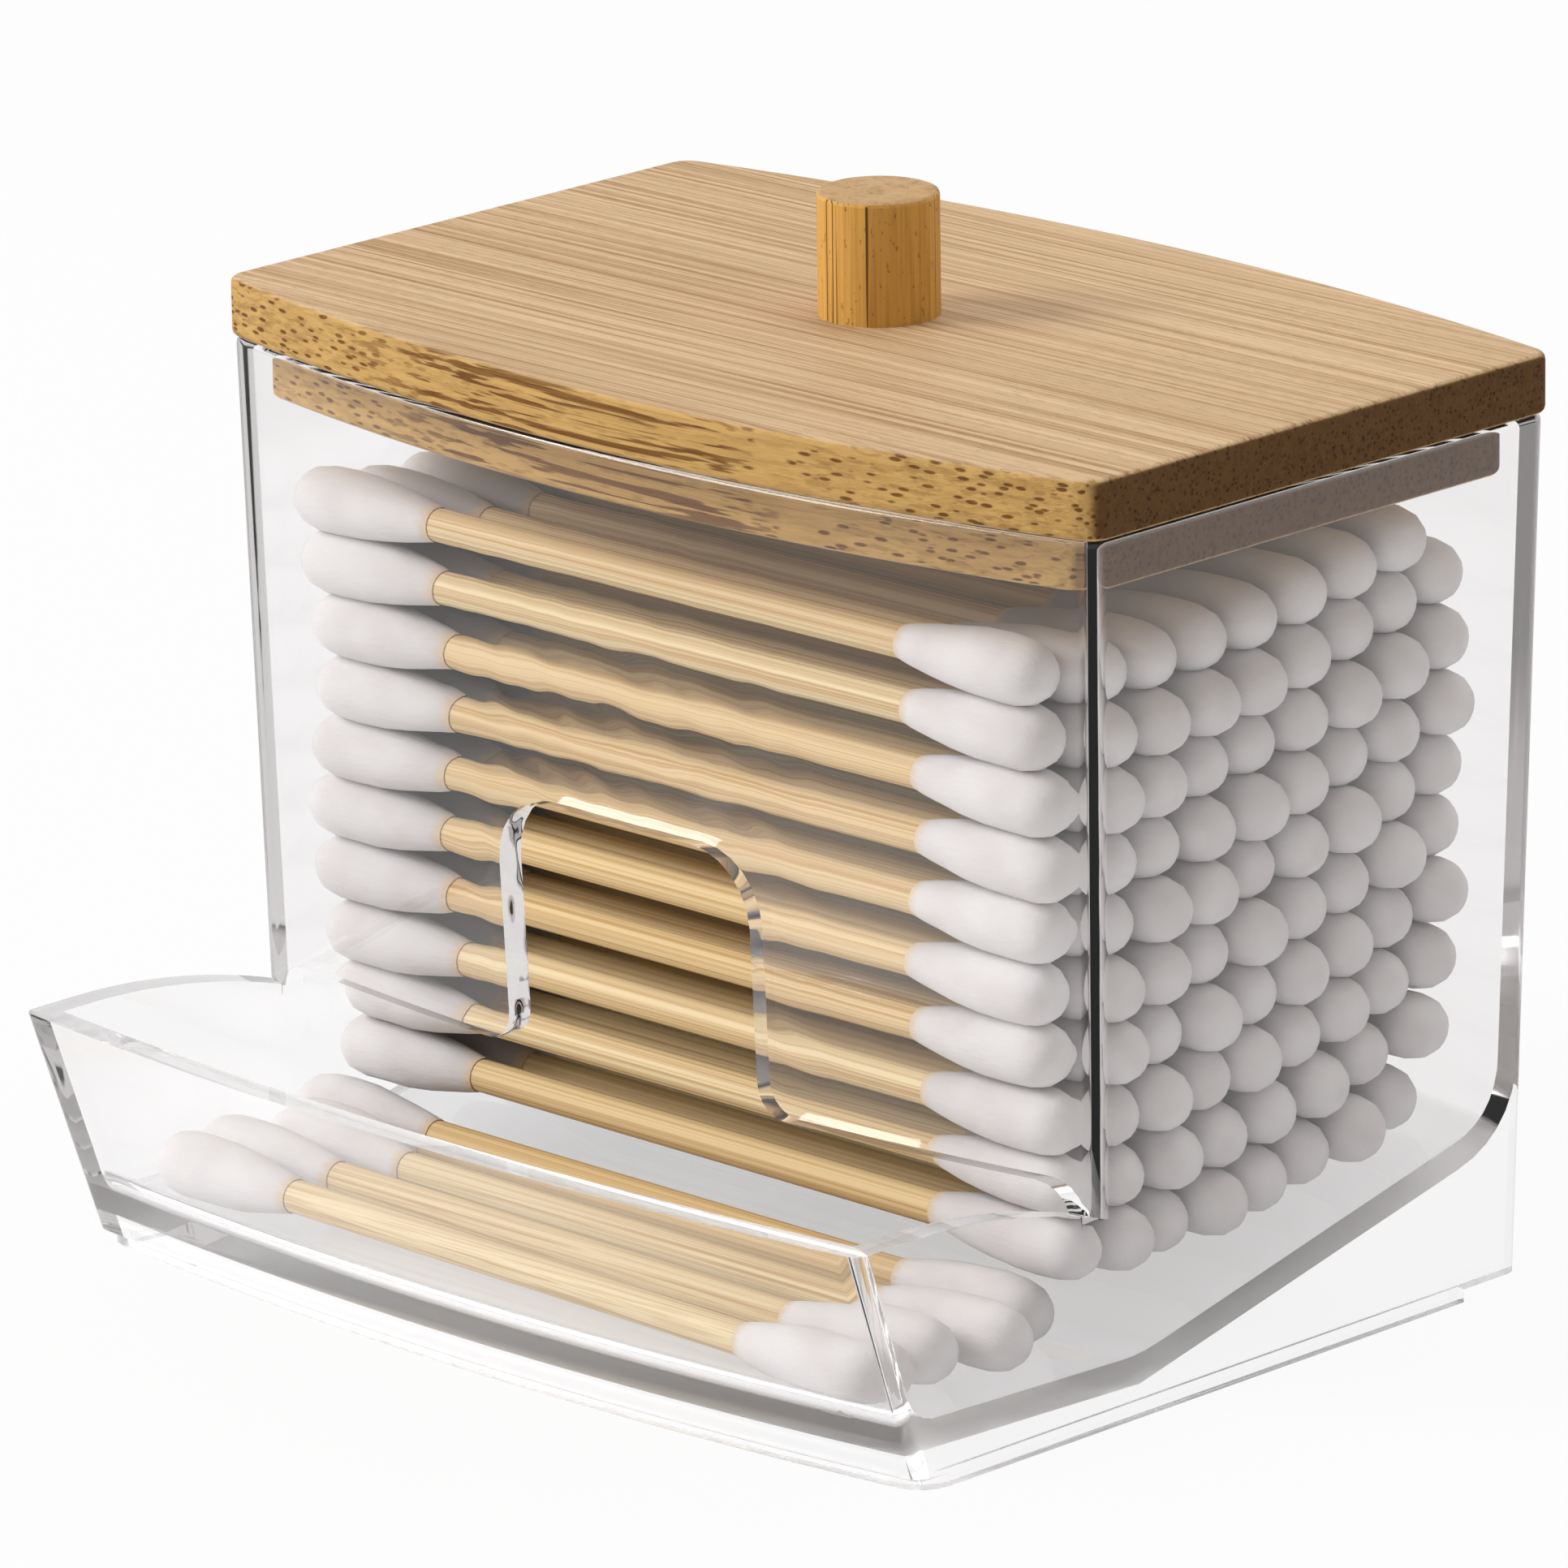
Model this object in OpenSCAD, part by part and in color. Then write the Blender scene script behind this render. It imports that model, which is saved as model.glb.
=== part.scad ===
// Cotton swab holder: a clear moulded hopper with a front tray, a wooden lid and its swabs.
// Lengths are in millimetres. X runs along the front, Y towards the back, Z up.
// The long walls are bowed in plan, so widths and depths are given at the corners.

/* [Hopper] */
// Free room past each end of a swab, at the floor
swab_end_room = 2.6; // [2:0.1:4]
// Outside depth of the hopper at its rim, from front corner to back corner
hopper_depth = 47.7; // [42:0.1:60]
// Height of the rim above the table
rim_height = 66; // [60:0.5:80]
// Thickness of every wall
wall = 2.2; // [1.6:0.1:2.6]
// Radius of the upright corners, outside
corner_radius = 3.2; // [2.8:0.1:4]
// How far the front wall bows out at the rim
front_bow = 5.6; // [3:0.1:8]
// How far the front wall bows out at the bottom
front_bow_low = 3.2; // [2:0.1:5]
// How far the back wall bows out at the rim
back_bow = 4.7; // [3:0.1:7]
// How far the back wall bows out at the bottom
back_bow_low = 2.6; // [1:0.1:4]
// How much narrower each side is at the table than at the rim
side_draft = 1.4; // [0.6:0.1:2]
// How far the front and the back come in at the table
end_draft = 1.3; // [0.6:0.1:2]
// Height of the rounding on the rim's outer edge
rim_rounding = 0.7; // [0.3:0.1:1]

/* [Outlet and notch] */
// Height of the front wall's lower edge above the table
outlet_height = 18.2; // [17:0.1:20]
// Radius where the lower edge comes down to the sides
outlet_shoulder = 3; // [1.5:0.1:4]
// Width of the finger notch in the front wall
notch_width = 26; // [18:0.5:34]
// Height of the finger notch above the front wall's lower edge
notch_height = 19.6; // [12:0.2:26]
// Radius of the notch's upper corners
notch_radius = 3; // [1.5:0.1:5]

/* [Tray] */
// How far the tray's rim corners stand in front of the hopper
tray_reach = 23.3; // [20:0.1:30]
// How far the tray's front leans out between the foot and the rim
tray_lean = 6.4; // [3:0.1:8]
// Height of the tray's rim at its front corners
tray_height = 19.2; // [18:0.1:21]
// How far the tray's front bows out
tray_bow = 3; // [1.5:0.1:5]
// How far the tray's side rims drop on their way back to the hopper
ramp_drop = 4.1; // [2:0.1:5]
// Length of the level part of each side rim, behind the front corner
ramp_start = 5; // [3:0.5:8]
// Size of the rounding inside, at the foot of the tray's front wall
tray_fillet = 1.8; // [1.2:0.1:2]
// Radius of the tray's upright corners, outside
tray_corner = 0.8; // [0.6:0.1:1.4]
// Radius of the tray's upright corners, inside
tray_inner_corner = 1.6; // [1:0.1:3]

/* [Floor and foot] */
// Height of the floor's lowest line, where the swabs roll to
valley_height = 4.3; // [4:0.1:5]
// Distance of the floor's lowest line behind the hopper's front corners
valley_back = 6; // [4:0.1:8]
// Rise of the tray floor from its lowest line to the tray's front
tray_floor_rise = 1; // [0.4:0.1:1.5]
// Slope of the hopper floor, in degrees
floor_slope = 12.6; // [9:0.1:15]
// Thickness of the floor
floor_thickness = 2.2; // [1.6:0.1:2.6]
// Radius where the floor bends up into the back wall
bend_radius = 6; // [4:0.5:8]
// Height of the foot rail under the skirt
foot_height = 1; // [0.6:0.1:1.6]
// Width of the foot rail
foot_width = 1.6; // [1:0.1:2]
// Radius of the foot rail's front corners, outside
foot_corner_radius = 2.4; // [2.2:0.1:4]
// How far the foot rail ends before the back corners
foot_end_gap = 5; // [3:0.1:8]

/* [Lid] */
// Thickness of the lid board outside the rim
lid_thickness = 4.5; // [3:0.1:8]
// How far the board stands out past the rim
lid_overhang = 0.3; // [0:0.1:1.5]
// Depth of the step that drops into the rim
plug_depth = 4.4; // [3:0.1:5]
// Clearance between that step and the inside of the rim
plug_clearance = 0.7; // [0.3:0.1:1.2]
// Radius of the board's corners in plan
lid_corner_radius = 1.4; // [1:0.1:3]
// Size of the board's softened edges
lid_edge = 0.6; // [0.2:0.1:1]

/* [Knob] */
// Diameter of the knob
knob_diameter = 9; // [7:0.2:16]
// Height of the knob above the board
knob_height = 9.2; // [6:0.2:16]
// Size of the knob's softened top edge
knob_edge = 0.3; // [0.1:0.1:0.8]
// Diameter of the dowel that is glued into the board
dowel_diameter = 5; // [3:0.2:6]
// Clearance across that dowel for the glue
glue_gap = 0.1; // [0.05:0.01:0.2]
// Length of that dowel
dowel_length = 4; // [2:0.2:6]

/* [Swabs] */
// Length of a swab from tip to tip
swab_length = 75; // [70:0.5:80]
// Diameter of the wooden stick
stick_diameter = 2.5; // [1.8:0.1:3]
// Diameter of a cotton bud
bud_diameter = 4.5; // [4:0.1:5]
// Length of a cotton bud
bud_length = 13.5; // [9:0.1:16]
// Gap between the rows of buds, and between the buds and the floor
bud_gap = 0.2; // [0.16:0.01:0.3]
// Least gap between neighbouring buds of one row
column_gap = 0.1; // [0.08:0.01:0.4]
// Gap between the buds and the hopper's walls
wall_gap = 0.3; // [0.2:0.05:0.6]
// How far the lowest row keeps from the back wall, above the bend
bend_room = 4.4; // [3.5:0.1:6]
// How far the pile's lowest row rests above the floor, on swabs that lie across
heap_lift = 0.5; // [0.3:0.1:0.8]
// Free height between the pile and the lid
pile_headroom = 2; // [1:0.1:30]
// How far single swabs lie out of line along their length
stagger = 1.5; // [0:0.1:2]
// Number of swabs that lie in the tray and the outlet
tray_swabs = 4; // [1:1:4]
// How far those swabs lie askew, in degrees
tray_skew = 1.4; // [0.4:0.1:1.6]

/* [Colour] */
// Colour of the clear moulding
clear_colour = "#dfe6ea"; // color
// Colour of the lid and the knob
wood_colour = "#c69a5b"; // color
// Colour of the swab sticks
stick_colour = "#e6cf96"; // color
// Colour of the cotton
cotton_colour = "#f4f2f0"; // color

/* [Hidden] */

// Segments along a bowed wall and round a corner
bow_steps = 18;
corner_steps = 6;
// Cutters reach this far past what they cut
past = 2;

// The hopper is as wide at its rim as a swab, its room, the draft and the walls make it
hopper_width = swab_length + 2 * (swab_end_room + side_draft + wall);

// The object's middle, from the tray's rim to the lid's back edge, lies on the Z axis
lid_front_y = -lid_overhang;
lid_back_y = hopper_depth + lid_overhang;
tray_front_y = -tray_reach - tray_bow;
middle_y = (lid_back_y + back_bow + tray_front_y) / 2;

// The hopper's outline at a height
function rise(z) = (rim_height - z) / rim_height;
function half_width(z) = hopper_width / 2 - side_draft * rise(z);
function front_y(z) = end_draft * rise(z);
function back_y(z) = hopper_depth - end_draft * rise(z);
function bow_front(z) = front_bow + (front_bow_low - front_bow) * rise(z);
function bow_back(z) = back_bow + (back_bow_low - back_bow) * rise(z);

// The tray's front at a height
function tray_part(z) = (z - foot_height) / (tray_height - foot_height);
function tray_y(z) = -tray_reach + tray_lean * (1 - tray_part(z));

// The floor's upper surface along Y
function floor_z(y) = y < valley_back
    ? valley_height + tray_floor_rise * (valley_back - y) / (valley_back + tray_reach)
    : valley_height + (y - valley_back) * tan(floor_slope);

// A closed outline: bowed front and back, straight sides, rounded corners
function curve3(a, b, c) = [
    for (i = [1 : corner_steps - 1])
        let (t = i / corner_steps)
        a * (1 - t) * (1 - t) + b * 2 * t * (1 - t) + c * t * t
];
function bow_point(h, y, bow, s) = [h * s, y + bow * (1 - s * s)];
function outline(h, yf, yb, bf, bb, r) =
    let (
        s = 1 - r / h,
        fl = bow_point(h, yf, -bf, -s),
        fr = bow_point(h, yf, -bf, s),
        br = bow_point(h, yb, bb, s),
        bl = bow_point(h, yb, bb, -s)
    )
    concat(
        [for (i = [0 : bow_steps]) bow_point(h, yf, -bf, -s + 2 * s * i / bow_steps)],
        curve3(fr, [h, yf], [h, yf + r]),
        [[h, yf + r], [h, yb - r]],
        curve3([h, yb - r], [h, yb], br),
        [for (i = [0 : bow_steps]) bow_point(h, yb, bb, s - 2 * s * i / bow_steps)],
        curve3(bl, [-h, yb], [-h, yb - r]),
        [[-h, yb - r], [-h, yf + r]],
        curve3([-h, yf + r], [-h, yf], fl)
    );

// A solid through outlines of the same number of points, each at its own height
module skin(rings, heights) {
    n = len(rings[0]);
    m = len(rings);
    points = [for (k = [0 : m - 1]) for (p = rings[k]) [p[0], p[1], heights[k]]];
    sides = [
        for (k = [0 : m - 2]) for (i = [0 : n - 1])
            let (a = k * n + i, b = k * n + (i + 1) % n)
            each [[a, a + n, b], [b, a + n, b + n]]
    ];
    polyhedron(
        points = points,
        faces = concat(
            [[for (i = [0 : n - 1]) i]],
            sides,
            [[for (i = [n - 1 : -1 : 0]) (m - 1) * n + i]]
        )
    );
}

// The hopper's outline at a height, moved in by an inset
function hopper_ring(z, inset) = outline(
    half_width(z) - inset, front_y(z) + inset, back_y(z) - inset,
    bow_front(z), bow_back(z), max(corner_radius - inset, 0.8)
);

// The hopper's inside, where the back moves in to follow the bend above the floor
bend_base = floor_z(hopper_depth - wall) - bend_radius * 0.25;
function bend_inset(t) = bend_radius * (1 - sqrt(1 - (1 - t) * (1 - t)));
function inner_ring(z, back_in) = outline(
    half_width(z) - wall, front_y(z) + wall, back_y(z) - wall - back_in,
    bow_front(z), bow_back(z), max(corner_radius - wall, 0.8)
);

// The tray's outline, which runs back into the hopper
tray_back = corner_radius + valley_back;
function tray_ring(z, inset, corner) = outline(
    half_width(z) - inset, tray_y(z) + inset, tray_back + inset,
    tray_bow, 0, corner
);

// A side view, drawn with Y across and Z up, spread along X
module across(half) {
    rotate([90, 0, 90])
        linear_extrude(height = 2 * half, center = true)
            children();
}

// The space above the floor
module above_floor() {
    far = hopper_depth + back_bow + past;
    across(hopper_width / 2 + past)
        polygon([
            [-tray_reach - tray_bow - past, floor_z(-tray_reach - tray_bow - past)],
            [valley_back, valley_height],
            [far, floor_z(far)],
            [far, rim_height + past],
            [-tray_reach - tray_bow - past, rim_height + past]
        ]);
}

// The space under the floor and behind the bend, open to the table and to the back
module below_floor() {
    low = floor_thickness / cos(floor_slope);
    under_y = back_y(0) - bend_radius - wall;
    under_z = floor_z(under_y) - low;
    wall_y = back_y(0) + end_draft * 0.2;
    wall_z = floor_z(wall_y) - low + bend_radius * 0.75;
    far = hopper_depth + back_bow + past;
    bend = concat(
        [[under_y, under_z]],
        curve3([under_y, under_z], [wall_y, floor_z(wall_y) - low], [wall_y, wall_z]),
        [[wall_y, wall_z]]
    );
    intersection() {
        across(half_width(0) - wall)
            polygon(concat(
                [
                    [-tray_reach - tray_bow, -past],
                    [-tray_reach - tray_bow, floor_z(-tray_reach) - floor_thickness],
                    [valley_back, valley_height - floor_thickness]
                ],
                bend,
                [[far, wall_z], [far, -past]]
            ));
        skin(
            [
                outline(half_width(0) - wall, tray_y(0) + wall, far, tray_bow, 0, 1.5),
                outline(half_width(0) - wall, tray_y(rim_height / 3) + wall, far, tray_bow, 0, 1.5)
            ],
            [-past, rim_height / 3]
        );
    }
}

// The hopper's outside
module hopper_body() {
    skin(
        [
            hopper_ring(foot_height, 0), hopper_ring(rim_height - rim_rounding, 0),
            hopper_ring(rim_height - rim_rounding * 0.3, rim_rounding * 0.3),
            hopper_ring(rim_height, rim_rounding * 0.8)
        ],
        [foot_height, rim_height - rim_rounding, rim_height - rim_rounding * 0.3, rim_height]
    );
}

// The hopper's inside
module hopper_inside() {
    steps = [0, 0.2, 0.45, 0.7, 1];
    skin(
        concat(
            [inner_ring(0, bend_inset(0))],
            [for (t = steps) inner_ring(bend_base + t * bend_radius, bend_inset(t))],
            [inner_ring(rim_height + past, 0)]
        ),
        concat(
            [0],
            [for (t = steps) bend_base + t * bend_radius],
            [rim_height + past]
        )
    );
}

// The tray's outside, with side rims that dip towards the hopper
module tray_body() {
    top = tray_height + past;
    difference() {
        skin(
            [tray_ring(foot_height, 0, tray_corner), tray_ring(top, 0, tray_corner)],
            [foot_height, top]
        );
        across(hopper_width)
            polygon(concat(
                [[-2 * tray_reach, top + past], [-2 * tray_reach, tray_height]],
                [
                    for (i = [0 : 12])
                        let (t = i / 12, run = tray_reach - ramp_start + corner_radius)
                        [-tray_reach + ramp_start + run * t, tray_height - ramp_drop * t * t]
                ],
                [[tray_back + past, tray_height - ramp_drop], [tray_back + past, top + past]]
            ));
    }
}

// The tray's inside, rounded at the foot of its front wall
module tray_inside() {
    low = valley_height - floor_thickness / 2;
    foot = floor_z(-tray_reach);
    top = tray_height + 2 * past;
    f = tray_fillet;
    c = tray_inner_corner;
    skin(
        [
            tray_ring(low, wall + f * 0.9, c + f * 1.3), tray_ring(foot, wall + f * 0.7, c + f * 1.3),
            tray_ring(foot + f / 3, wall + f * 0.28, c + f), tray_ring(foot + f, wall, c + f * 0.8),
            tray_ring(top, wall, c)
        ],
        [low, foot, foot + f / 3, foot + f, top]
    );
}

// The way out under the front wall, with the finger notch above it
module outlet() {
    in = half_width(0) - wall;
    r = outlet_shoulder;
    n = notch_width / 2;
    q = notch_radius;
    top = outlet_height + notch_height;
    rotate([90, 0, 0])
        translate([0, 0, -valley_back])
            linear_extrude(height = valley_back + front_bow + past) {
                polygon(concat(
                    [[-in, valley_height - floor_thickness / 2], [-in, outlet_height - r]],
                    [for (i = [1 : 6]) [-in + r - r * cos(15 * i), outlet_height - r + r * sin(15 * i)]],
                    [for (i = [5 : -1 : 0]) [in - r + r * cos(15 * i), outlet_height - r + r * sin(15 * i)]],
                    [[in, valley_height - floor_thickness / 2]]
                ));
                translate([-n, outlet_height - 1])
                    square([notch_width, notch_height + 1 - q]);
                translate([-n + q, outlet_height - 1])
                    square([notch_width - 2 * q, notch_height + 1]);
                for (s = [-1, 1])
                    translate([s * (n - q), top - q])
                        circle(r = q, $fn = 48);
            }
}

// The rail that the holder stands on, under the front and both sides
module foot_rail() {
    h = half_width(foot_height);
    y = tray_y(foot_height) + max(wall - foot_width, 0);
    end = back_y(foot_height) - foot_end_gap;
    w = foot_width;
    r = foot_corner_radius;
    intersection() {
        difference() {
            skin(
                [
                    outline(h, y, 2 * end, tray_bow, 0, r),
                    outline(h, y, 2 * end, tray_bow, 0, r)
                ],
                [0, foot_height + 0.5]
            );
            skin(
                [
                    outline(h - w, y + w, 2 * end + 2 * w, tray_bow, 0, r - w / 2),
                    outline(h - w, y + w, 2 * end + 2 * w, tray_bow, 0, r - w / 2)
                ],
                [-past, foot_height + 2 * past]
            );
        }
        across(hopper_width)
            polygon([
                [-tray_reach - tray_bow - past, -past], [end, -past],
                [end, foot_height + 0.4], [-tray_reach - tray_bow - past, foot_height + 0.4]
            ]);
    }
}

module container() {
    color(clear_colour)
        translate([0, -middle_y, 0])
            difference() {
                union() {
                    hopper_body();
                    tray_body();
                    foot_rail();
                }
                intersection() {
                    union() {
                        hopper_inside();
                        outlet();
                        tray_clearance();
                    }
                    above_floor();
                }
                below_floor();
            }
}

// The tray's inside without the part that the hopper's front wall fills
module tray_clearance() {
    difference() {
        tray_inside();
        intersection() {
            hopper_body();
            translate([-hopper_width, -hopper_depth, outlet_height - outlet_shoulder])
                cube([2 * hopper_width, 2 * hopper_depth, rim_height]);
        }
    }
}

// The lid board: a plate on the rim, with a step that drops inside it
module lid_board() {
    z = rim_height;
    plug_in = wall + plug_clearance;
    color(wood_colour)
        translate([0, -middle_y, 0])
            difference() {
                union() {
                    skin(
                        [
                            lid_ring(lid_edge), lid_ring(lid_edge * 0.3), lid_ring(0),
                            lid_ring(0), lid_ring(lid_edge * 0.3), lid_ring(lid_edge * 0.8)
                        ],
                        [
                            z, z + lid_edge * 0.3, z + lid_edge,
                            z + lid_thickness - lid_edge * 0.8,
                            z + lid_thickness - lid_edge * 0.25, z + lid_thickness
                        ]
                    );
                    skin(
                        [
                            plug_ring(plug_in + 0.5), plug_ring(plug_in + 0.1),
                            plug_ring(plug_in), plug_ring(plug_in)
                        ],
                        [z - plug_depth, z - plug_depth + 0.3, z - plug_depth + 0.7, z + lid_thickness / 2]
                    );
                }
                translate([0, hopper_depth / 2, z + lid_thickness - dowel_length])
                    cylinder(d = dowel_diameter + glue_gap, h = dowel_length + past, $fn = 48);
            }
}
function lid_ring(inset) = outline(
    hopper_width / 2 + lid_overhang - inset, lid_front_y + inset, lid_back_y - inset,
    front_bow, back_bow, lid_corner_radius
);
function plug_ring(inset) = outline(
    hopper_width / 2 - inset, inset, hopper_depth - inset, front_bow, back_bow, 1
);

// The knob: a plain turned peg with a dowel in the board
module knob() {
    r = knob_diameter / 2;
    d = dowel_diameter / 2;
    e = knob_edge;
    color(wood_colour)
        translate([0, hopper_depth / 2 - middle_y, rim_height + lid_thickness])
            rotate_extrude($fn = 72)
                polygon([
                    [0, -dowel_length], [d, -dowel_length], [d, 0], [r, 0],
                    [r, knob_height - e], [r - e * 0.3, knob_height - e * 0.3],
                    [r - e, knob_height], [0, knob_height]
                ]);
}

// One cotton bud, from its inner end at the origin to its tip along +X
bud_shape = [
    [0, 0.58], [0.12, 0.72], [0.28, 0.88], [0.48, 0.98], [0.68, 1], [0.84, 0.96], [0.92, 0.8], [0.975, 0.5]
];
module bud() {
    rotate([0, 90, 0])
        rotate_extrude($fn = 32)
            polygon(concat(
                [[0, 0]],
                [for (p = bud_shape) [p[1] * bud_diameter / 2, p[0] * bud_length]],
                [[bud_diameter * 0.09, bud_length], [0, bud_length]]
            ));
}

// One part of a swab: its stick, its left bud or its right bud
module swab_part(part) {
    reach = swab_length / 2 - bud_length;
    if (part == "stick")
        rotate([0, 90, 0])
            cylinder(d = stick_diameter, h = 2 * reach, center = true, $fn = 24);
    if (part == "right")
        translate([reach, 0, 0])
            bud();
    if (part == "left")
        mirror([1, 0, 0])
            translate([reach, 0, 0])
                bud();
}

// The pile lies in rows that follow the floor, each spread from the front wall to the back wall
pitch = bud_diameter + bud_gap;
bud_place = swab_length / 2 - bud_length * 0.22;
function side_bow(z) = 1 - pow(bud_place / (half_width(z) - wall), 2);
function first_y(z) = front_y(z) + wall - bow_front(z) * side_bow(z) + bud_diameter / 2 + wall_gap;
function over_bend(z) = max(0, 1 - (z - floor_z(hopper_depth - bend_radius) - bud_diameter / 2) / (3 * bend_radius));
function last_y(z) = back_y(z) - wall + bow_back(z) * side_bow(z) - bud_diameter / 2 - wall_gap
    - bend_room * pow(over_bend(z), 2);

// The lowest row rests on the swabs in the outlet at its front, and comes down to the floor behind
heap_front = 0.9 * pitch;
function row_z(y, i) = floor_z(y) + (bud_diameter / 2 + bud_gap) / cos(floor_slope) + heap_lift
    + heap_front * pow(max(0, 1 - (y - first_y(0)) / (hopper_depth - first_y(0))), 3) + i * pitch;
function row_start(i) = first_y(row_z(first_y(0), i));
function row_end(i) = last_y(row_z(last_y(rim_height), i));
function row_count(i) = floor((row_end(i) - row_start(i)) / (bud_diameter + column_gap)) + 1;
pile_top = rim_height - plug_depth - pile_headroom - bud_diameter / 2;
function out_of_line(k, i) = min(stagger, half_width(0) - wall - swab_length / 2 - 0.4)
    * sin(137 * k + 71 * i + 23 * i * k);

module pile(part) {
    rows = ceil(rim_height / pitch);
    translate([0, -middle_y, 0])
        for (i = [0 : rows]) {
            step = (row_end(i) - row_start(i)) / (row_count(i) - 1);
            for (k = [0 : row_count(i) - 1]) {
                y = row_start(i) + k * step;
                z = row_z(y, i);
                if (z <= pile_top)
                    translate([out_of_line(k, i), y, z])
                        swab_part(part);
            }
        }
}

module pile_sticks() {
    color(stick_colour) pile("stick");
}

module pile_buds_left() {
    color(cotton_colour) pile("left");
}

module pile_buds_right() {
    color(cotton_colour) pile("right");
}

// The swabs in the tray lie on its floor side by side, a little askew, up to the pile's front
tray_shift = [0.4, -0.8, 0.9, -0.3];
askew = sin(tray_skew) * swab_length / 2;
tray_line = floor_z(-tray_reach) + bud_diameter / 2;
tray_first = tray_y(tray_line) + wall - tray_bow * side_bow(0) + 1.06 * bud_diameter / 2
    + wall_gap + askew;
tray_last = row_start(0) - 0.47 * pitch;
module tray_load(part) {
    count = min(tray_swabs, 1 + floor((tray_last - tray_first - askew) / (bud_diameter + column_gap)));
    step = (tray_last - tray_first) / max(count - 1, 1);
    for (i = [0 : count - 1]) {
        y = tray_first + i * step;
        translate([tray_shift[i], y - middle_y, floor_z(y) + bud_diameter / 2 + bud_gap])
            rotate([0, 0, -tray_skew * (1 - i / max(count - 1, 1))])
                swab_part(part);
    }
}

module tray_sticks() {
    color(stick_colour) tray_load("stick");
}

module tray_buds_left() {
    color(cotton_colour) tray_load("left");
}

module tray_buds_right() {
    color(cotton_colour) tray_load("right");
}

container();
lid_board();
knob();
pile_sticks();
pile_buds_left();
pile_buds_right();
tray_sticks();
tray_buds_left();
tray_buds_right();
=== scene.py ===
import math
import bmesh
import bpy
from mathutils import Matrix, Vector, noise


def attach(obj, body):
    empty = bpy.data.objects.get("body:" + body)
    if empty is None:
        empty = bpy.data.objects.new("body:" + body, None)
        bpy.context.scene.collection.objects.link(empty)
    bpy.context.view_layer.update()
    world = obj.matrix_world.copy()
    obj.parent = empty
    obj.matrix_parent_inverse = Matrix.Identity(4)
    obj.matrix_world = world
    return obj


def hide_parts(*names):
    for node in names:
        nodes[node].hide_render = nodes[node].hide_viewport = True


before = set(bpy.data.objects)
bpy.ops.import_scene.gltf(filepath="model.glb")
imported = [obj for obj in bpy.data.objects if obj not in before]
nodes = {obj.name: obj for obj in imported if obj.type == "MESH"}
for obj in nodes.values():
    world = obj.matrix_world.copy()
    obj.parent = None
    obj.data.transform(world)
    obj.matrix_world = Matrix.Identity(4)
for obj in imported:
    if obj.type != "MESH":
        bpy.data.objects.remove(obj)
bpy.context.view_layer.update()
mm = 0.001
print("frame loaded:", len(nodes), "nodes")


# Shader helpers
class Wire:  # a node socket that can be used in sums
    def __init__(self, paint, socket):
        self.paint = paint
        self.socket = socket

    def maths(self, operation, *others):
        return self.paint.add("ShaderNodeMath", {"operation": operation},
                              dict(enumerate((self,) + others)))

    def __add__(self, other):
        return self.maths("ADD", other)

    def __sub__(self, other):
        return self.maths("SUBTRACT", other)

    def __mul__(self, other):
        return self.maths("MULTIPLY", other)

    def __rsub__(self, other):
        return (self * -1.0) + other

    __radd__ = __add__
    __rmul__ = __mul__

    def size(self):
        return self.maths("ABSOLUTE")

    def most(self, other):
        return self.maths("MAXIMUM", other)

    def least(self, other):
        return self.maths("MINIMUM", other)

    def ramp(self, low, high, start=0.0, end=1.0):
        return self.paint.add("ShaderNodeMapRange", {"interpolation_type": "SMOOTHSTEP"},
                              {"Value": self, "From Min": low, "From Max": high,
                               "To Min": start, "To Max": end})


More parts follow.
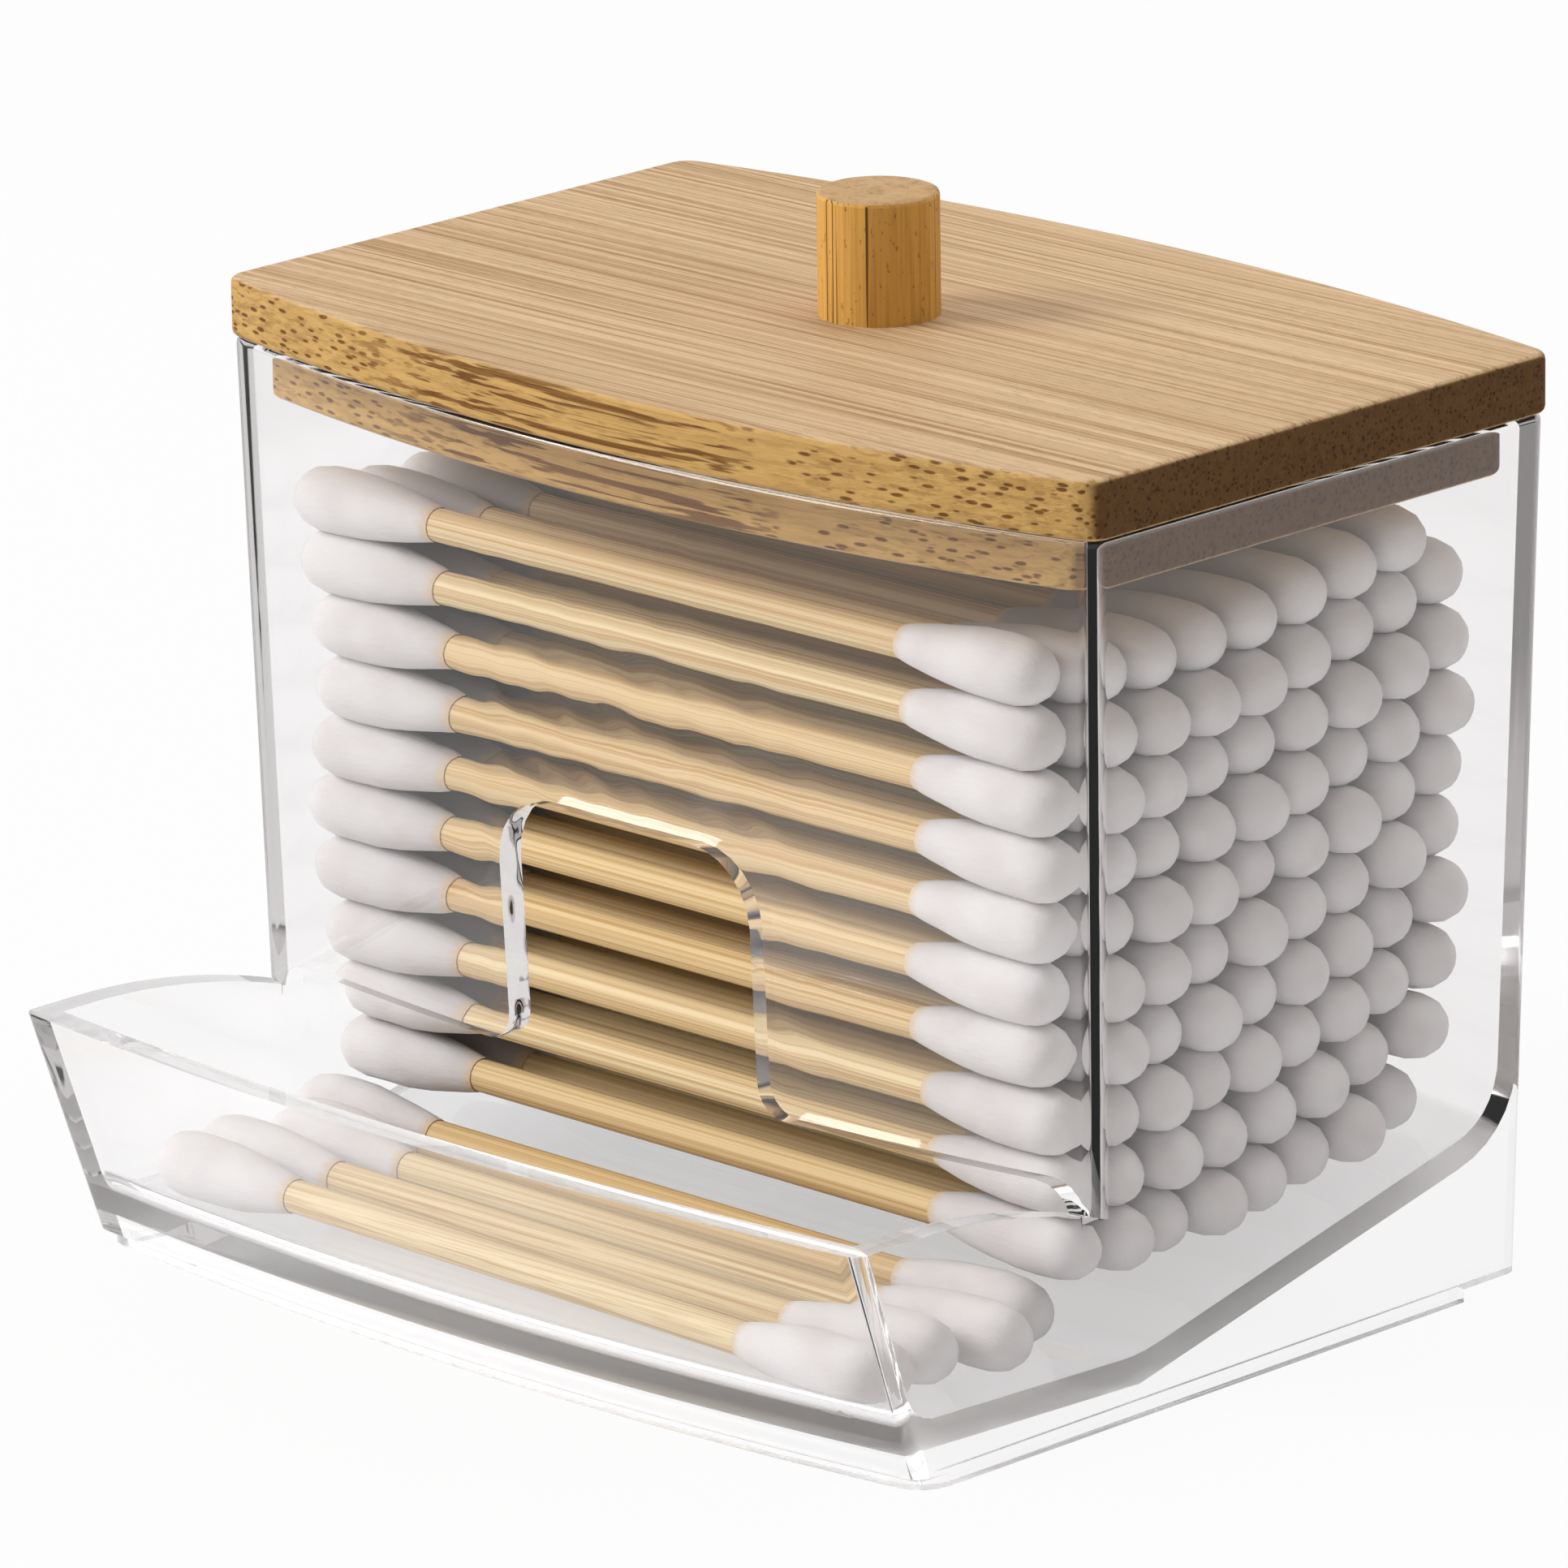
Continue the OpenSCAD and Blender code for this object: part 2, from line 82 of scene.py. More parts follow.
class Paint:  # the nodes of one material or of the world
    def __init__(self, owner):
        self.owner = owner
        owner.use_nodes = True
        self.tree = owner.node_tree
        self.tree.nodes.clear()
        world = isinstance(owner, bpy.types.World)
        self.output = self.tree.nodes.new("ShaderNodeOutputWorld" if world else "ShaderNodeOutputMaterial")

    def add(self, kind, settings=None, inputs=None, out=0):
        node = self.tree.nodes.new(kind)
        for key, value in (settings or {}).items():
            setattr(node, key, value)
        for key, value in (inputs or {}).items():
            if isinstance(value, Wire):
                self.tree.links.new(value.socket, node.inputs[key])
            else:
                node.inputs[key].default_value = value
        return Wire(self, node.outputs[out])

    def blend(self, share, first, second):
        # inputs 6 and 7 are the colours, output 2 the blended colour
        pair = [c if isinstance(c, Wire) else (*c, 1.0) for c in (first, second)]
        return self.add("ShaderNodeMix", {"data_type": "RGBA"}, {0: share, 6: pair[0], 7: pair[1]}, out=2)

    def noise(self, place, detail=2.0, rough=0.5, out=0):
        return self.add("ShaderNodeTexNoise", None,
                        {"Vector": place, "Scale": 1.0, "Detail": detail, "Roughness": rough}, out=out)

    def cells(self, place, spread=1.0, out="Distance"):
        return self.add("ShaderNodeTexVoronoi", {"feature": "F1"},
                        {"Vector": place, "Scale": 1.0, "Randomness": spread}, out=out)

    def place(self, scale=(1, 1, 1), shift=(0, 0, 0)):
        here = self.add("ShaderNodeTexCoord", out="Object")
        return self.add("ShaderNodeMapping", None, {"Vector": here, "Scale": scale, "Location": shift})

    def drift(self, place, wander, amount):
        # moves a place a little by a noise, so that straight grain wavers
        noise = self.noise(wander, 2.0, out="Color")
        return self.add("ShaderNodeVectorMath", {"operation": "MULTIPLY_ADD"},
                        {0: noise, 1: (0, amount, amount), 2: place})

    def part(self, vector, index):
        return self.add("ShaderNodeSeparateXYZ", None, {0: vector}, out=index)

    def facing(self, index):
        return self.part(self.add("ShaderNodeNewGeometry", out="Normal"), index).size()

    def ray(self, kind):
        return self.add("ShaderNodeLightPath", out=kind)

    def bump(self, height, strength, distance):
        return self.add("ShaderNodeBump", None,
                        {"Height": height, "Strength": strength, "Distance": distance})

    def finish(self, shader, output="Surface"):
        self.tree.links.new(shader.socket, self.output.inputs[output])
        return self.owner


def newPaint(name):
    return Paint(bpy.data.materials.new(name))


# Camera, light and floor
cameraSetup = {
    "eye": (0.65915, -0.66799, 0.31485),
    "look": (-0.67343, 0.68259, -0.28384),
    "roll": -0.757,       # degrees
    "lens": 308.11,
}
lightSetup = {
    "ambient": 0.36,      # soft light from all round
    "keyPlace": (-0.86, -0.9, 0.88),
    "keySize": 0.7,
    "keyPower": 14.5,
    "topPlace": (0.05, 0.4, 1.1),
    "topSize": 0.9,
    "topPower": 4.5,
    "bounces": 16,        # light runs a long way inside the clear walls
    "softBounces": 2,     # between the swabs
}
# Painted shade: soft dark bands of the floor, seen only through the clear walls, which they darken: angle,
# half width, depth
darkBands = ((2.9, 0.22, 0.5), (-2.35, 0.3, 0.3), (-0.6, 0.4, 0.6))
paperSetup = {
    "colour": (0.86, 0.86, 0.86),
    "clean": 0.92,        # how much of the floor's own shading is hidden
    "darkFrom": 0.13, "darkTo": 0.2,      # distance at which the bands begin and are full
    "mirrored": 0.5,      # how bright the floor is in reflections
    # painted reflection: a glowing patch of floor, seen only in reflections
    "sheenPlace": (-0.02, -0.075), "sheenReach": 0.075, "sheen": 2.3,
}


def makeCamera(setup):
    data = bpy.data.cameras.new("camera")
    data.sensor_width = 36
    data.sensor_fit = "HORIZONTAL"
    data.lens = setup["lens"]
    data.clip_start = 0.05
    data.clip_end = 20
    camera = bpy.data.objects.new("camera", data)
    bpy.context.scene.collection.objects.link(camera)
    turn = Vector(setup["look"]).to_track_quat("-Z", "Y").to_matrix()
    turn = turn @ Matrix.Rotation(math.radians(setup["roll"]), 3, "Z")
    camera.matrix_world = Matrix.Translation(setup["eye"]) @ turn.to_4x4()
    bpy.context.scene.camera = camera


def areaLamp(name, place, size, power):
    data = bpy.data.lights.new(name, "AREA")
    data.size = size
    data.energy = power
    lamp = bpy.data.objects.new(name, data)
    bpy.context.scene.collection.objects.link(lamp)
    turn = (Vector((0, 0, 0.035)) - Vector(place)).to_track_quat("-Z", "Y").to_matrix()
    lamp.matrix_world = Matrix.Translation(place) @ turn.to_4x4()


def bandShade(x, y):
    # how dark the bands are in the direction of x and y
    angle = y.maths("ARCTAN2", x)
    shade = None
    for centre, half, depth in darkBands:
        band = (angle - centre).size().ramp(half * 0.7, half * 1.3, depth, 0.0)
        shade = band if shade is None else shade.most(band)
    return shade


def makeWorld(setup):
    world = bpy.data.worlds.new("studio")
    bpy.context.scene.world = world
    w = Paint(world)
    soft = (setup["ambient"], setup["ambient"] * 0.985, setup["ambient"] * 0.97)
    seen = w.ray("Is Glossy Ray").most(w.ray("Is Transmission Ray")).most(w.ray("Is Camera Ray"))
    colour = w.blend(seen, soft, (1, 1, 1))
    w.finish(w.add("ShaderNodeBackground", None, {"Color": colour, "Strength": 1.0}))


def makeFloor(setup):
    bm = bmesh.new()
    bmesh.ops.create_grid(bm, x_segments=1, y_segments=1, size=6)
    mesh = bpy.data.meshes.new("floor")
    bm.to_mesh(mesh)
    bm.free()
    floor = bpy.data.objects.new("floor", mesh)
    bpy.context.scene.collection.objects.link(floor)
    m = newPaint("palePaper")
    x, y = m.part(m.place(), 0), m.part(m.place(), 1)
    away = (x * x + y * y).maths("SQRT").ramp(setup["darkFrom"], setup["darkTo"])
    # painted shade: dark bands on the floor, seen only through the clear walls
    through = m.blend(bandShade(x, y) * away, (1, 1, 1), (0, 0, 0))
    # painted reflection: a glowing patch of floor, seen only in reflections, lays a bright haze on the
    # tray's front wall; the rest of the floor is painted dimmer in reflections
    u, v = x - setup["sheenPlace"][0], y - setup["sheenPlace"][1]
    paintedSheenPatch = (u * u + v * v).maths("SQRT").ramp(0.0, setup["sheenReach"], 1.0, 0.0)
    mirrored = m.blend(paintedSheenPatch, (setup["mirrored"],) * 3, (setup["sheen"],) * 3)
    colour = m.blend(m.ray("Is Transmission Ray"), (1, 1, 1), through)
    colour = m.blend(m.ray("Is Glossy Ray") * (1 - m.ray("Is Transmission Ray")), colour, mirrored)
    seen = m.ray("Is Camera Ray").most(m.ray("Is Glossy Ray")).most(m.ray("Is Transmission Ray"))
    paper = m.add("ShaderNodeBsdfDiffuse", None, {"Color": (*setup["colour"], 1)})
    glow = m.add("ShaderNodeEmission", None, {"Color": colour, "Strength": 1.0})
    mixed = m.add("ShaderNodeMixShader", None, {0: seen * setup["clean"], 1: paper, 2: glow})
    mesh.materials.append(m.finish(mixed))


makeCamera(cameraSetup)
makeWorld(lightSetup)
makeFloor(paperSetup)
areaLamp("keyLamp", lightSetup["keyPlace"], lightSetup["keySize"], lightSetup["keyPower"])
areaLamp("topLamp", lightSetup["topPlace"], lightSetup["topSize"], lightSetup["topPower"])
bpy.context.scene.view_settings.view_transform = "Standard"
for kind in ("max_bounces", "transmission_bounces", "glossy_bounces"):
    setattr(bpy.context.scene.cycles, kind, lightSetup["bounces"])
bpy.context.scene.cycles.diffuse_bounces = lightSetup["softBounces"]
print("stage made")


# Mesh helpers
def addPiece(name, bm, body, material, replaced=(), sharp=40):
    mesh = bpy.data.meshes.new(name)
    bm.to_mesh(mesh)
    bm.free()
    mesh.shade_smooth()
    if sharp:
        mesh.set_sharp_from_angle(angle=math.radians(sharp))
    mesh.materials.append(material)
    piece = bpy.data.objects.new(name, mesh)
    bpy.context.scene.collection.objects.link(piece)
    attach(piece, body)
    if replaced:
        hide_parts(*replaced)
    return piece


def islands(node):
    # the separate solids of a node, each as its list of points
    bm = bmesh.new()
    bm.from_mesh(nodes[node].data)
    bmesh.ops.remove_doubles(bm, verts=bm.verts, dist=1e-6)
    left = set(bm.verts)
    found = []
    while left:
        todo = [left.pop()]
        points = []
        while todo:
            v = todo.pop()
            points.append(v.co.copy())
            for e in v.link_edges:
                other = e.other_vert(v)
                if other in left:
                    left.remove(other)
                    todo.append(other)
        found.append(points)
    bm.free()
    return sorted(found, key=lambda p: (round(p[0].y, 4), round(p[0].z, 4)))


def swabPlaces(node):
    # middle and direction of each stick
    places = []
    for points in islands(node):
        middle = sum(points, Vector()) / len(points)
        right = [p for p in points if p.x > middle.x]
        left = [p for p in points if p.x < middle.x]
        a, b = sum(left, Vector()) / len(left), sum(right, Vector()) / len(right)
        places.append(((a + b) / 2, (b - a).normalized()))
    return sorted(places, key=lambda p: (round(p[0].y, 4), round(p[0].z, 4)))


# Clear moulding
# It is first made straight, in millimetres, and is then bowed and drafted.
mouldSetup = {
    "half": 43.7, "depth": 47.7, "rim": 66.0, "wall": 2.2, "middle": 13.2,
    "frontBow": 5.6, "frontBowLow": 3.2, "backBow": 4.7, "backBowLow": 2.6,
    "sideDraft": 1.4, "endDraft": 1.3, "corner": 1.3, "innerCorner": 0.6, "rimEnd": 3.2,
    "outlet": 18.2, "shoulder": 3.0,
    "notchHalf": 13.0, "notchTop": 37.8, "notchCorner": 5.5, "notchFoot": 2.5,
    "reach": 23.3, "lean": 6.4, "trayTop": 19.2, "trayBow": 3.0, "rampDrop": 4.1, "rampStart": 5.0,
    "valley": 4.3, "valleyBack": 6.0, "rise": 1.0, "slope": 12.6, "floor": 2.2, "bend": 6.0,
    "foot": 1.0, "railWidth": 1.6, "railCorner": 2.4, "railEnd": 41.4,
    "rimEdge": 0.6, "trayEdge": 0.8, "edge": 0.26, "cuts": 44,
}
clearSetup = {
    "ior": 1.49, "roughness": 0.012, "satin": 0.6,
    "tint": (0.9, 0.893, 0.892), "density": 80.0,     # only long ways through the plastic turn grey
    "wave": 0.00022,                                  # waviness of the moulding round the notch
}


def prism(points, axis, low, high):
    # a flat outline pushed along X or along Y
    bm = bmesh.new()
    if axis == "X":
        ring = [bm.verts.new((low, a, b)) for a, b in points]
        push = Vector((high - low, 0, 0))
    else:
        ring = [bm.verts.new((a, low, b)) for a, b in points]
        push = Vector((0, high - low, 0))
    face = bm.faces.new(ring)
    made = bmesh.ops.extrude_face_region(bm, geom=[face])
    bmesh.ops.translate(bm, vec=push, verts=[v for v in made["geom"] if isinstance(v, bmesh.types.BMVert)])
    bmesh.ops.recalc_face_normals(bm, faces=bm.faces)
    return bm


def block(low, high):
    bm = bmesh.new()
    size = [b - a for a, b in zip(low, high)]
    place = Vector([(a + b) / 2 for a, b in zip(low, high)])
    bmesh.ops.create_cube(bm, size=1, matrix=Matrix.Translation(place) @ Matrix.Diagonal((*size, 1)))
    return bm


def roundEdges(bm, wanted, size, steps):
    edges = [e for e in bm.edges if wanted(e)]
    bmesh.ops.bevel(bm, geom=edges, offset=size, offset_type="OFFSET", segments=steps, profile=0.5,
                    affect="EDGES", clamp_overlap=True, material=-1)


def upright(e):
    a, b = e.verts[0].co, e.verts[1].co
    return abs(a.x - b.x) < 0.01 and abs(a.y - b.y) < 0.01


def sameSide(e):
    return abs(e.verts[0].co.x - e.verts[1].co.x) < 0.01


def rise(e):
    return abs(e.verts[0].co.z - e.verts[1].co.z)


def asObject(name, bm):
    mesh = bpy.data.meshes.new(name)
    bm.to_mesh(mesh)
    bm.free()
    made = bpy.data.objects.new(name, mesh)
    bpy.context.scene.collection.objects.link(made)
    return made


def combine(target, tool, operation):
    # one boolean step, applied at once
    change = target.modifiers.new("step", "BOOLEAN")
    change.object = tool
    change.operation = operation
    change.solver = "EXACT"
    view = bpy.context.evaluated_depsgraph_get()
    mesh = bpy.data.meshes.new_from_object(target.evaluated_get(view))
    target.modifiers.clear()
    old = target.data
    target.data = mesh
    bpy.data.meshes.remove(old)
    bpy.data.objects.remove(tool)


def curve(a, b, c, steps):
    return [((1 - t) ** 2 * a[0] + 2 * t * (1 - t) * b[0] + t * t * c[0],
             (1 - t) ** 2 * a[1] + 2 * t * (1 - t) * b[1] + t * t * c[1])
            for t in (i / steps for i in range(steps + 1))]


def trayFront(s, z):
    return -s["reach"] + s["lean"] * (1 - (z - s["foot"]) / (s["trayTop"] - s["foot"]))


def floorLine(s, y):
    if y < s["valleyBack"]:
        return s["valley"] + s["rise"] * (s["valleyBack"] - y) / (s["valleyBack"] + s["reach"])
    return s["valley"] + (y - s["valleyBack"]) * math.tan(math.radians(s["slope"]))


def bowed(s, x, y, z):
    # from the straight shape to the real one, still in millimetres
    up = (s["rim"] - z) / s["rim"]
    side = x / s["half"]
    across = 1 - min(1, side * side)
    atFront = s["endDraft"] * up - (s["frontBow"] + (s["frontBowLow"] - s["frontBow"]) * up) * across
    atBack = -s["endDraft"] * up + (s["backBow"] + (s["backBowLow"] - s["backBow"]) * up) * across
    if y >= 0:
        share = min(1, max(0, (y - s["wall"]) / (s["depth"] - 2 * s["wall"])))
        y += atFront * (1 - share) + atBack * share
    else:
        share = min(1, max(0, y / (trayFront(s, z) + s["wall"])))
        y += atFront * (1 - share) - s["trayBow"] * across * share
    return Vector((side * (s["half"] - s["sideDraft"] * up), y - s["middle"], z)) * mm


def bend(bm, s, how, half):
    # cuts across X first, so that the flat faces can follow the bow
    for i in range(1, s["cuts"]):
        x = -half + 2 * half * i / s["cuts"]
        bmesh.ops.bisect_plane(bm, geom=bm.verts[:] + bm.edges[:] + bm.faces[:], dist=1e-4,
                               plane_co=(x, 0, 0), plane_no=(1, 0, 0))
    for v in bm.verts:
        v.co = how(s, *v.co)


def mouldShape(s):
    w, d, t = s["half"], s["depth"], s["wall"]
    hopper = block((-w, 0, s["foot"]), (w, d, s["rim"]))
    roundEdges(hopper, upright, s["corner"], 5)
    roundEdges(hopper, lambda e: all(v.co.z > s["rim"] - 0.01 for v in e.verts), s["rimEdge"], 3)
    body = asObject("body", hopper)
    # the tray, with side rims that dip in an arc towards the hopper
    top, run = s["trayTop"], s["reach"] - s["rampStart"] + s["rimEnd"]
    rim = [(-s["reach"] + s["rampStart"] + run * i / 12, top - s["rampDrop"] * (i / 12) ** 2)
           for i in range(13)]
    tray = prism([(trayFront(s, s["foot"]), s["foot"]), (trayFront(s, top), top)] + rim
                 + [(9.0, rim[-1][1]), (9.0, s["foot"])], "X", -w, w)
    roundEdges(tray, lambda e: sameSide(e) and rise(e) > 5 and all(v.co.y < -16 for v in e.verts),
               s["trayEdge"], 3)
    combine(body, asObject("tray", tray), "UNION")
    # the foot rail
    front = trayFront(s, s["foot"]) + t - s["railWidth"]
    rail = block((-w, front, 0), (w, s["railEnd"], s["foot"] + 0.4))
    roundEdges(rail, lambda e: upright(e) and e.verts[0].co.y < 0, s["railCorner"], 4)
    thick = s["railWidth"]
    inner = block((-w + thick, front + thick, -1), (w - thick, s["railEnd"] + 5, 4))
    roundEdges(inner, lambda e: upright(e) and e.verts[0].co.y < 0, s["railCorner"] - thick / 2, 3)
    rail = asObject("rail", rail)
    combine(rail, asObject("inner", inner), "DIFFERENCE")
    combine(body, rail, "UNION")
    # the room inside, from the tray to the back wall
    foot = floorLine(s, -s["reach"])
    corner = (trayFront(s, foot) + t, foot)
    tangent = s["bend"] * math.tan(math.radians((90 - s["slope"]) / 2))
    lean = math.radians(s["slope"])
    back = d - t
    inside = [(trayFront(s, 30) + t, 30)]
    inside += curve((trayFront(s, foot + 1.8) + t, foot + 1.8), corner,
                    (corner[0] + 1.8, floorLine(s, corner[0] + 1.8)), 4)
    dip = s["valleyBack"]
    inside += curve((dip - 2, floorLine(s, dip - 2)), (dip, s["valley"]),
                    (dip + 2, floorLine(s, dip + 2)), 3)
    inside += curve((back - tangent * math.cos(lean), floorLine(s, back - tangent * math.cos(lean))),
                    (back, floorLine(s, back)), (back, floorLine(s, back) + tangent), 7)
    step = s["outlet"] - s["shoulder"]
    inside += [(back, 70), (t, 70), (t, step), (0, step), (0, 30)]
    room = prism(inside, "X", -w + t, w - t)
    roundEdges(room, lambda e: sameSide(e) and rise(e) > 15.5
               and (e.verts[0].co.y > t - 0.01 or e.verts[0].co.y < -10), s["innerCorner"], 4)
    combine(body, asObject("room", room), "DIFFERENCE")
    # the outlet and the finger notch in the front wall
    low, r, n, q, high = s["outlet"], s["shoulder"], s["notchHalf"], s["notchCorner"], s["notchTop"]
    f = s["notchFoot"]
    half = [(w - t, low - r - 1.2), (w - t, low - r)]
    half += [(w - t - r + r * math.cos(a), low - r + r * math.sin(a))
             for a in (i * math.pi / 10 for i in range(1, 6))]
    half += [(n + f - f * math.sin(a), low + f - f * math.cos(a))
             for a in (i * math.pi / 10 for i in range(6))]
    half += [(n, high - q)]
    half += [(n - q + q * math.cos(a), high - q + q * math.sin(a))
             for a in (i * math.pi / 12 for i in range(1, 7))]
    gate = prism(half + [(-x, z) for x, z in reversed(half)], "Y", -1.5, t + 1.5)
    combine(body, asObject("gate", gate), "DIFFERENCE")
    # the open space under the floor
    drop = s["floor"] / math.cos(lean)
    outer = s["bend"] + s["floor"]
    tangent = outer * math.tan(math.radians((90 - s["slope"]) / 2))
    start = trayFront(s, s["foot"] + 1.5) + t
    under = [(trayFront(s, -1) + t, -1), (start, floorLine(s, start) - s["floor"]),
             (dip, s["valley"] - s["floor"])]
    last = floorLine(s, d) - drop
    under += curve((d - tangent * math.cos(lean), floorLine(s, d - tangent * math.cos(lean)) - drop),
                   (d, last), (d, last + tangent), 7)
    under += [(d + 12, last + tangent), (d + 12, -1)]
    combine(body, asObject("under", prism(under, "X", -w + t, w - t)), "DIFFERENCE")
    bm = bmesh.new()
    bm.from_mesh(body.data)
    bpy.data.objects.remove(body)
    bmesh.ops.remove_doubles(bm, verts=bm.verts, dist=0.004)
    bmesh.ops.dissolve_limit(bm, angle_limit=math.radians(0.2), verts=bm.verts, edges=bm.edges)
    return bm


def clearPlastic(setup):
    m = newPaint("clearPlastic")
    here = m.place()
    x, y, z = m.part(here, 0).size(), m.part(here, 1), m.part(here, 2)
    # strongest round the notch, and only in the hopper's front wall
    notch = x.ramp(0.011, 0.022, 1.0, 0.12) * (z - 0.03).size().ramp(0.012, 0.028, 1.0, 0.12)
    notch = notch * (y + 0.0155).size().ramp(0.0035, 0.006, 1.0, 0.0)
    wave = m.noise(m.place((150, 60, 230)), 1.0) * notch
    # the underside of the floor is satin
    sloped = ((y + 0.0072) * 0.2235).most(0.0)
    under = (z - sloped).ramp(0.0034, 0.0038, 1.0, 0.0) * m.facing(2).ramp(0.6, 0.8)
    m.finish(m.add("ShaderNodeBsdfPrincipled", None, {
        "Base Color": (1.0, 0.995, 0.995, 1), "Roughness": under * setup["satin"] + setup["roughness"],
        "IOR": setup["ior"], "Transmission Weight": 1.0, "Normal": m.bump(wave, 1.0, setup["wave"])}))
    depth = m.add("ShaderNodeVolumeAbsorption", None,
                  {"Color": (*setup["tint"], 1), "Density": setup["density"]})
    return m.finish(depth, "Volume")


def makeContainer(s):
    bm = mouldShape(s)
    sharp = math.radians(28)
    roundEdges(bm, lambda e: len(e.link_faces) == 2 and e.calc_face_angle(0) > sharp, s["edge"], 2)
    bmesh.ops.remove_doubles(bm, verts=bm.verts, dist=0.002)
    bmesh.ops.dissolve_degenerate(bm, dist=0.002, edges=bm.edges)
    bend(bm, s, bowed, s["half"])
    loose = [e for e in bm.edges if len(e.link_faces) != 2]
    print("clear moulding:", len(bm.faces), "faces,", len(loose), "open edges")
    piece = addPiece("clear_moulding", bm, "holder", clearPlastic(clearSetup),
                     ["container"], 32)
    piece.modifiers.new("evenNormals", "WEIGHTED_NORMAL").keep_sharp = True
    piece.visible_shadow = False      # light reaches the swabs straight through the walls
    piece.visible_diffuse = False


makeContainer(mouldSetup)
print("clear moulding made")


# Lid and knob, of bamboo
woodSetup = {
    "top": (0.78, 0.55, 0.325), "topDark": (0.38, 0.205, 0.085),
    "edge": (0.72, 0.44, 0.15), "edgeDark": (0.2, 0.08, 0.02),
    "end": (0.16, 0.077, 0.026), "endDark": (0.055, 0.023, 0.008),
    "knuckle": 0.0172, "knuckleHalf": 0.0012,        # where a knuckle of the cane crosses the board
    "roughness": 0.46,
}


def bambooBoard(setup):
    m = newPaint("bambooBoard")
    wander = m.place((16, 45, 45))
    fine = m.noise(m.drift(m.place((15, 4200, 4200)), wander, 1.6), 3.0, 0.6)
    middling = m.noise(m.drift(m.place((9, 1500, 1500)), wander, 0.7), 4.0, 0.65)
    broad = m.noise(m.place((6, 110, 110)), 2.0)
    streak = middling.ramp(0.46, 0.62) * 0.6 + fine.ramp(0.45, 0.62) * 0.4
    tone = broad.ramp(0.3, 0.7)
    # cut bundles of the cane: short dashes near the ends and past the knuckle, long lines between
    bundle = m.cells(m.drift(m.place((430, 2100, 2100)), m.place((90, 500, 500)), 0.9))
    dash = bundle.ramp(0.2, 0.36, 1.0, 0.0)
    line = m.noise(m.drift(m.place((42, 2300, 2300)), wander, 0.9), 2.0, 0.55).ramp(0.52, 0.6)
    x = m.part(m.place(), 0)
    ends = (x * -1.0).ramp(0.014, 0.03).most(x.ramp(setup["knuckle"] - 0.006, setup["knuckle"]))
    width = setup["knuckleHalf"]
    knuckle = (x - setup["knuckle"]).size().ramp(width, width * 1.6, 1.0, 0.0)
    cut = (dash * (0.25 + ends * 0.75) * 0.85).most(line * (1 - ends * 0.7) * 0.8) * (1 - knuckle)
    top = m.blend(streak * 0.8 + tone * 0.22, setup["top"], setup["topDark"])
    edge = m.blend((cut + streak * 0.25 + tone * 0.1).least(1.0), setup["edge"], setup["edgeDark"])
    end = m.blend((dash * 0.6 + streak * 0.3).least(1.0), setup["end"], setup["endDark"])
    colour = m.blend(m.facing(2).ramp(0.55, 0.85), edge, top)
    colour = m.blend(m.facing(0).ramp(0.6, 0.9), colour, end)
    height = bundle * 0.3 - cut * 0.8 - streak * 0.5
    return m.finish(m.add("ShaderNodeBsdfPrincipled", None, {
        "Base Color": colour, "Roughness": setup["roughness"] + streak * 0.14,
        "Normal": m.bump(height, 0.6, 0.00022), "Specular IOR Level": 0.08}))


knobSetup = {
    "side": (0.84, 0.48, 0.12), "brown": (0.46, 0.20, 0.045), "crack": (0.10, 0.035, 0.01),
    "top": (0.58, 0.36, 0.165), "topDark": (0.26, 0.13, 0.045),
}


def bambooKnob(setup):
    m = newPaint("bambooKnob")
    strip = m.cells(m.place((620, 620, 3), (0.37, 0.1, 0)), 1.0, "Color")
    fine = m.noise(m.place((2600, 2600, 60)), 3.0, 0.6)
    specks = m.noise(m.place((2600, 2600, 1300)), 2.0, 0.6).ramp(0.62, 0.72)
    strips = m.part(strip, 0).ramp(0.15, 0.95)
    crack = m.noise(m.place((1900, 1900, 10), (0.2, 0.4, 0)), 2.0, 0.6).ramp(0.62, 0.65)
    side = m.blend(strips * 0.4 + fine.ramp(0.4, 0.65) * 0.35, setup["side"], setup["brown"])
    side = m.blend((crack * 0.9).most(specks * 0.5), side, setup["crack"])
    mottle = m.noise(m.place((900, 900, 900)), 4.0, 0.7).ramp(0.45, 0.7)
    top = m.blend(mottle * 0.5 + specks * 0.3, setup["top"], setup["topDark"])
    height = strips * 0.3 + fine * 0.2 - crack
    return m.finish(m.add("ShaderNodeBsdfPrincipled", None, {
        "Base Color": m.blend(m.facing(2).ramp(0.6, 0.9), side, top), "Roughness": 0.45 + strips * 0.15,
        "Normal": m.bump(height, 0.6, 0.0003), "Specular IOR Level": 0.12}))


boardPaint = bambooBoard(woodSetup)


def dress(node, material):
    piece = nodes[node]
    piece.data.materials.clear()
    piece.data.materials.append(material)


def lidBow(s, x, y, z):
    across = 1 - min(1, (x / s["half"]) ** 2)
    share = min(1, max(0, (y - s["wall"]) / (s["depth"] - 2 * s["wall"])))
    y += -s["frontBow"] * across * (1 - share) + s["backBow"] * across * share
    return Vector((x, y - s["middle"], z)) * mm


lidSetup = {"out": 0.3, "thick": 4.5, "corner": 1.5, "edge": 0.55, "step": 4.4, "stepIn": 2.9}


